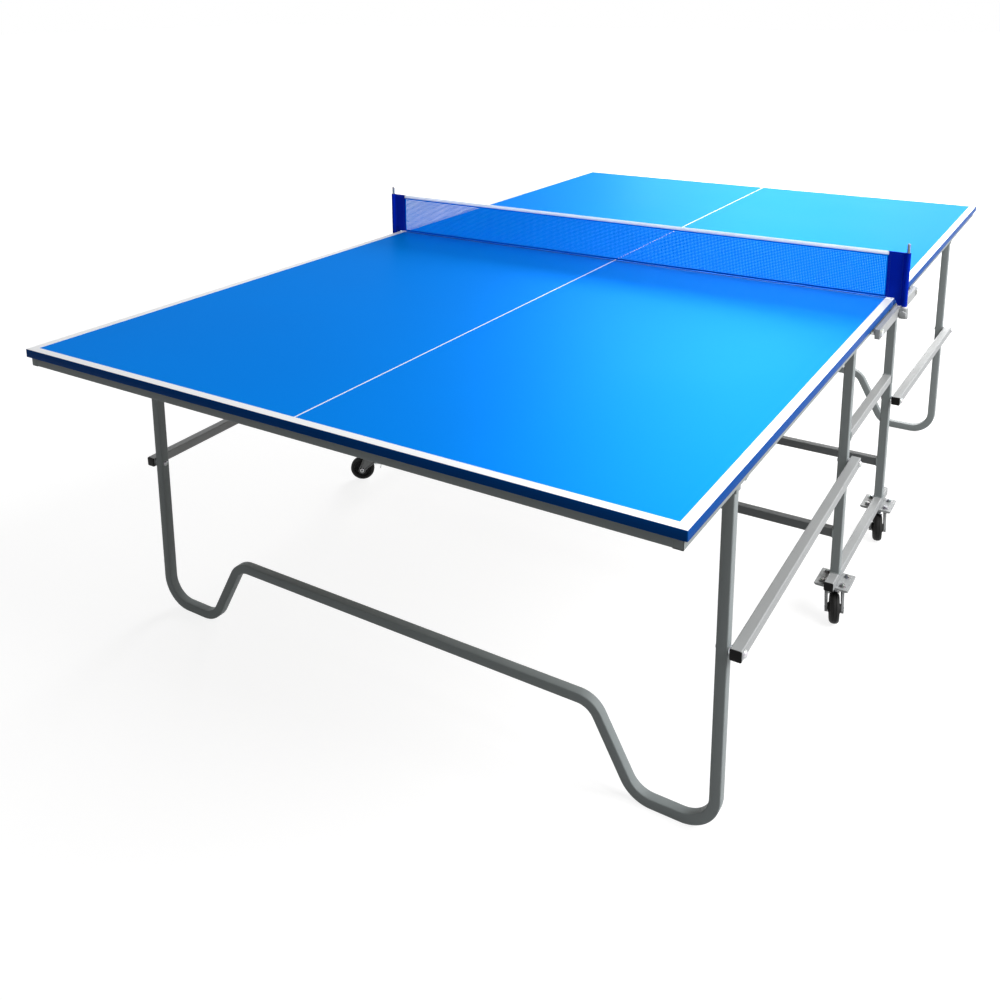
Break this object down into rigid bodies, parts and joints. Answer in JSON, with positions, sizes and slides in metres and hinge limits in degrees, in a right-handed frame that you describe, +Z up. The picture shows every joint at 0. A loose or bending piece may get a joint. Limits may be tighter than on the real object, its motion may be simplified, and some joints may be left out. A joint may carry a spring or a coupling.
{
  "type": "ping pong table",
  "caption": "Folding ping pong table on a wheeled trolley, with bent tube legs, folding side links, swivel casters and a clamped net.",
  "frame": {"origin": "on the floor, under the middle of the net", "axes": "+X across the table's width, +Y along its length towards the far end, +Z up"},
  "size_m": [1.594, 2.74, 0.904],
  "materials": {
    "board_blue": "satin blue lacquer with white lines",
    "edge_band": "dark blue edging strip",
    "frame_paint": "grey powder coat",
    "rail_paint": "light grey powder coat",
    "zinc": "bright zinc plate",
    "black_plastic": "moulded black plastic",
    "wheel_rubber": "black moulded tread",
    "net_cloth": "dark blue knitted mesh",
    "sleeve_cloth": "dark blue woven sleeve",
    "net_tape": "white woven tape"
  },
  "bodies": {
    "trolley": {"near_left_post": "frame_paint", "near_right_post": "frame_paint", "far_left_post": "frame_paint", "far_right_post": "frame_paint", "left_base_rail": "rail_paint", "right_base_rail": "rail_paint", "left_upper_rail": "rail_paint", "right_upper_rail": "rail_paint", "near_crossbar": "frame_paint", "far_crossbar": "frame_paint", "trolley_plugs": "black_plastic", "post_lugs": "frame_paint", "hinge_bolts": "zinc", "link_post_bolts": "zinc", "left_net_rail": "rail_paint", "right_net_rail": "rail_paint", "left_net_bracket": "zinc", "right_net_bracket": "zinc", "caster_plates": "zinc", "caster_bolts": "zinc"},
    "near_half": {"near_board": "board_blue", "near_edge_band": "edge_band", "near_side_aprons": "frame_paint", "near_end_aprons": "frame_paint", "near_stiffeners": "frame_paint", "near_leg_brackets": "frame_paint"},
    "near_leg_frame": {"near_leg": "frame_paint", "near_leg_bolts": "zinc"},
    "near_links": {"near_left_link": "rail_paint", "near_right_link": "rail_paint", "near_link_caps": "black_plastic"},
    "far_half": {"far_board": "board_blue", "far_edge_band": "edge_band", "far_side_aprons": "frame_paint", "far_end_aprons": "frame_paint", "far_stiffeners": "frame_paint", "far_leg_brackets": "frame_paint"},
    "far_leg_frame": {"far_leg": "frame_paint", "far_leg_bolts": "zinc"},
    "far_links": {"far_left_link": "rail_paint", "far_right_link": "rail_paint", "far_link_caps": "black_plastic"},
    "near_left_caster": {"near_left_fork": "zinc"},
    "near_left_roller": {"near_left_wheel": "wheel_rubber"},
    "near_left_brake_lever": {"near_left_brake": "zinc"},
    "near_right_caster": {"near_right_fork": "zinc"},
    "near_right_roller": {"near_right_wheel": "wheel_rubber"},
    "near_right_brake_lever": {"near_right_brake": "zinc"},
    "far_left_caster": {"far_left_fork": "zinc"},
    "far_left_roller": {"far_left_wheel": "wheel_rubber"},
    "far_left_brake_lever": {"far_left_brake": "zinc"},
    "far_right_caster": {"far_right_fork": "zinc"},
    "far_right_roller": {"far_right_wheel": "wheel_rubber"},
    "far_right_brake_lever": {"far_right_brake": "zinc"},
    "net": {"net_posts": "zinc", "net_mesh": "net_cloth", "net_tape": "net_tape", "net_sleeves": "sleeve_cloth"},
    "left_clamp": {"left_thumb_screw": "black_plastic"},
    "right_clamp": {"right_thumb_screw": "black_plastic"}
  },
  "joints": [
    {"name": "near_fold", "type": "hinge", "parent": "trolley", "child": "near_half", "pos_m": [0, -0.207, 0.732], "axis": [-1, 0, 0], "range_deg": [0, 90]},
    {"name": "near_leg_fold", "type": "hinge", "parent": "near_half", "child": "near_leg_frame", "pos_m": [0, -1.032, 0.704], "axis": [-1, 0, 0], "range_deg": [-90, 0]},
    {"name": "near_link_turn", "type": "hinge", "parent": "trolley", "child": "near_links", "pos_m": [0, -0.235, 0.41], "axis": [-1, 0, 0], "range_deg": [0, 90]},
    {"name": "far_fold", "type": "hinge", "parent": "trolley", "child": "far_half", "pos_m": [0, 0.207, 0.732], "axis": [1, 0, 0], "range_deg": [0, 90]},
    {"name": "far_leg_fold", "type": "hinge", "parent": "far_half", "child": "far_leg_frame", "pos_m": [0, 1.032, 0.704], "axis": [1, 0, 0], "range_deg": [-90, 0]},
    {"name": "far_link_turn", "type": "hinge", "parent": "trolley", "child": "far_links", "pos_m": [0, 0.235, 0.41], "axis": [1, 0, 0], "range_deg": [0, 90]},
    {"name": "near_left_swivel", "type": "hinge", "parent": "trolley", "child": "near_left_caster", "pos_m": [-0.7195, -0.235, 0.08], "axis": [0, 0, 1], "continuous": true},
    {"name": "near_left_roll", "type": "hinge", "parent": "near_left_caster", "child": "near_left_roller", "pos_m": [-0.74634, -0.25243, 0.0375], "axis": [0.5446, -0.8387, 0], "continuous": true},
    {"name": "near_left_brake_turn", "type": "hinge", "parent": "near_left_caster", "child": "near_left_brake_lever", "pos_m": [-0.70776, -0.22737, 0.076], "axis": [0.5446, -0.8387, 0], "range_deg": [-15, 0]},
    {"name": "near_right_swivel", "type": "hinge", "parent": "trolley", "child": "near_right_caster", "pos_m": [0.7195, -0.235, 0.08], "axis": [0, 0, 1], "continuous": true},
    {"name": "near_right_roll", "type": "hinge", "parent": "near_right_caster", "child": "near_right_roller", "pos_m": [0.72886, -0.2656, 0.0375], "axis": [0.9563, 0.2924, 0], "continuous": true},
    {"name": "near_right_brake_turn", "type": "hinge", "parent": "near_right_caster", "child": "near_right_brake_lever", "pos_m": [0.71541, -0.22161, 0.076], "axis": [0.9563, 0.2924, 0], "range_deg": [-15, 0]},
    {"name": "far_left_swivel", "type": "hinge", "parent": "trolley", "child": "far_left_caster", "pos_m": [-0.7195, 0.235, 0.08], "axis": [0, 0, 1], "continuous": true},
    {"name": "far_left_roll", "type": "hinge", "parent": "far_left_caster", "child": "far_left_roller", "pos_m": [-0.70448, 0.20675, 0.0375], "axis": [0.8829, 0.4695, 0], "continuous": true},
    {"name": "far_left_brake_turn", "type": "hinge", "parent": "far_left_caster", "child": "far_left_brake_lever", "pos_m": [-0.72607, 0.24736, 0.076], "axis": [0.8829, 0.4695, 0], "range_deg": [-15, 0]},
    {"name": "far_right_swivel", "type": "hinge", "parent": "trolley", "child": "far_right_caster", "pos_m": [0.7195, 0.235, 0.08], "axis": [0, 0, 1], "continuous": true},
    {"name": "far_right_roll", "type": "hinge", "parent": "far_right_caster", "child": "far_right_roller", "pos_m": [0.72778, 0.20409, 0.0375], "axis": [0.9659, 0.2588, 0], "continuous": true},
    {"name": "far_right_brake_turn", "type": "hinge", "parent": "far_right_caster", "child": "far_right_brake_lever", "pos_m": [0.71588, 0.24852, 0.076], "axis": [0.9659, 0.2588, 0], "range_deg": [-15, 0]},
    {"name": "net_lift", "type": "slide", "parent": "trolley", "child": "net", "axis": [0, 0, 1], "range_m": [0, 0.15]},
    {"name": "left_clamp_turn", "type": "hinge", "parent": "trolley", "child": "left_clamp", "pos_m": [-0.7875, -0.01, 0.727], "axis": [0, -1, 0], "range_deg": [-720, 0]},
    {"name": "right_clamp_turn", "type": "hinge", "parent": "trolley", "child": "right_clamp", "pos_m": [0.7875, -0.01, 0.727], "axis": [0, -1, 0], "range_deg": [-720, 0]}
  ],
  "couplings": [
    {"joint": "near_leg_fold", "follows": "near_fold", "ratio": -1},
    {"joint": "near_link_turn", "follows": "near_fold", "ratio": 1},
    {"joint": "far_leg_fold", "follows": "far_fold", "ratio": -1},
    {"joint": "far_link_turn", "follows": "far_fold", "ratio": 1}
  ]
}
